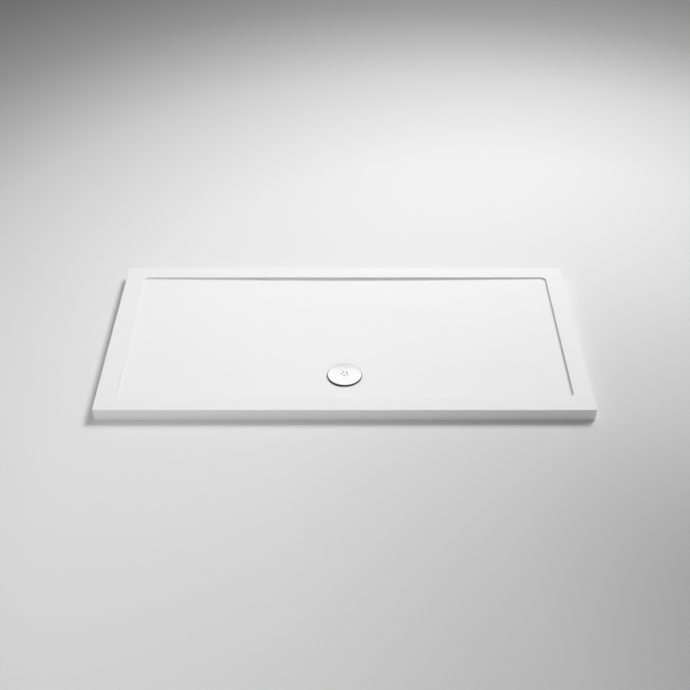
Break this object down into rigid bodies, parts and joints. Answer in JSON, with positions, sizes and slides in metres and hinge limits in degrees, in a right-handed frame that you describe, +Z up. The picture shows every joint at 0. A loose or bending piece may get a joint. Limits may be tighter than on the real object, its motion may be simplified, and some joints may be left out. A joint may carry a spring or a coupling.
{
  "type": "shower tray",
  "caption": "Low rectangular shower tray with a level rim, a shallow recess that falls to a chrome-covered waste, and the bottle trap that hangs below it.",
  "frame": {"origin": "centre of the tray's bedding face, the flat underside that lies in the mortar bed; the trap hangs below it", "axes": "+X along the tray's length, +Y from the front long edge to the back long edge, +Z up out of the recess"},
  "size_m": [1.6, 0.8, 0.1353],
  "materials": {
    "tray_skin": "gloss",
    "resin_core": "matte",
    "flange_steel": "satin",
    "seal_rubber": "matte",
    "screw_steel": "satin",
    "insert_brass": "satin",
    "trap_plastic": "satin",
    "ring_plastic": "satin",
    "nut_plastic": "satin",
    "dip_plastic": "satin",
    "strainer_plastic": "satin",
    "cover_chrome": "polished",
    "carrier_plastic": "satin",
    "foot_rubber": "matte"
  },
  "bodies": {
    "tray": {"tray_skin": "tray_skin", "resin_core": "resin_core", "waste_flange": "flange_steel", "flange_seal": "seal_rubber", "body_seal": "seal_rubber", "clamp_screws": "screw_steel", "screw_washers": "screw_steel", "screw_inserts": "insert_brass", "trap_head": "trap_plastic", "trap_collar": "trap_plastic", "trap_body": "trap_plastic", "trap_cup": "trap_plastic", "pipe_socket": "trap_plastic", "outlet_seal": "seal_rubber"},
    "dip_tube": {"dip_tube": "dip_plastic", "dip_o_ring_1": "seal_rubber", "dip_o_ring_2": "seal_rubber"},
    "strainer": {"hair_strainer": "strainer_plastic"},
    "cover": {"waste_cover": "cover_chrome", "cover_carrier": "carrier_plastic", "cover_feet": "foot_rubber"},
    "outlet_ring": {"slip_ring": "ring_plastic"},
    "outlet_nut": {"outlet_nut": "nut_plastic"}
  },
  "joints": [
    {"name": "dip_tube_lift", "type": "slide", "parent": "tray", "child": "dip_tube", "axis": [0, 0, 1], "range_m": [0, 0.12]},
    {"name": "strainer_lift", "type": "slide", "parent": "dip_tube", "child": "strainer", "axis": [0, 0, 1], "range_m": [0, 0.045]},
    {"name": "cover_lift", "type": "slide", "parent": "strainer", "child": "cover", "axis": [0, 0, 1], "range_m": [0, 0.06]},
    {"name": "outlet_nut_travel", "type": "slide", "parent": "tray", "child": "outlet_ring", "axis": [0, 1, 0], "range_m": [0, 0.0121]},
    {"name": "outlet_nut_turn", "type": "hinge", "parent": "outlet_ring", "child": "outlet_nut", "pos_m": [0, -0.1085, -0.036], "axis": [0, 1, 0], "range_deg": [0, 1080]}
  ],
  "couplings": [
    {"joint": "outlet_nut_travel", "follows": "outlet_nut_turn", "m_per_rad": 0.00063662}
  ]
}
